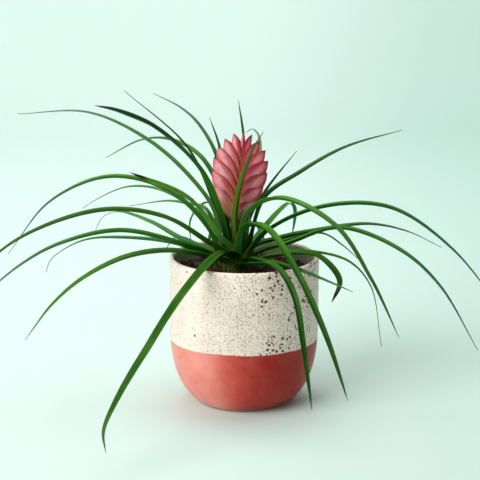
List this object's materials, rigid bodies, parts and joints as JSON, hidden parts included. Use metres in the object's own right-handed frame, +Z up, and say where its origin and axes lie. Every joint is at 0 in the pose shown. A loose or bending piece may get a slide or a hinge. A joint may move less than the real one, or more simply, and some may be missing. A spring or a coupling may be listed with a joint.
{
  "type": "potted vriesea",
  "caption": "Potted bromeliad: narrow arching leaves in a spiral and a flat pink flower head, rooted in bark mix in a round-bodied cream and red glazed pot that stands on its flat foot.",
  "frame": {"origin": "middle of the pot's flat foot, on the surface that the pot stands on", "axes": "+Z up along the pot's axis; -Y is the side that faces the viewer of the picture; +X to that viewer's right"},
  "size_m": [0.4141, 0.3021, 0.2416],
  "materials": {
    "glaze": "cream glaze with brown specks above, rose-red glaze below, semi-gloss",
    "mix": "rough brown bark chips",
    "stem": "pale green to brown, dry sheath at the foot",
    "leaf": "satin green with fine lengthwise veins and thin greyish tips",
    "stalk": "satin green",
    "bract": "satin rose pink with peach midline and dark tips"
  },
  "bodies": {
    "root": {"pot": "glaze", "potting_mix": "mix", "stem": "stem", "flower_stalk": "stalk", "flower_bracts": "bract", "leaf_young_back": "leaf", "leaf_before_head": "leaf", "leaf_high_left_4": "leaf", "leaf_curled": "leaf", "leaf_high_left_2": "leaf", "leaf_spear_left": "leaf", "leaf_front_right_1": "leaf", "leaf_high_left_5": "leaf", "leaf_high_right_1": "leaf", "leaf_mid_left_7": "leaf", "leaf_high_left_3": "leaf", "leaf_high_right_2": "leaf", "leaf_high_left_1": "leaf", "leaf_spear_back": "leaf", "leaf_front_right_2": "leaf", "leaf_mid_left_8": "leaf", "leaf_long_right_6": "leaf", "leaf_long_left_10": "leaf", "leaf_back_left_2": "leaf", "leaf_long_right_3": "leaf", "leaf_mid_left_6": "leaf", "leaf_back_right_2": "leaf", "leaf_front_left_15": "leaf", "leaf_mid_left_9": "leaf", "leaf_long_right_5": "leaf", "leaf_low_left_12": "leaf", "leaf_back_right_3": "leaf", "leaf_low_right_10": "leaf", "leaf_back_left_11": "leaf", "leaf_low_right_7": "leaf", "leaf_low_left_14": "leaf", "leaf_back_left_3": "leaf", "leaf_low_right_9": "leaf", "leaf_low_left_13": "leaf", "leaf_back_middle": "leaf", "leaf_front_right_11": "leaf", "leaf_back_left_4": "leaf", "leaf_low_right_8": "leaf"}
  },
  "joints": []
}
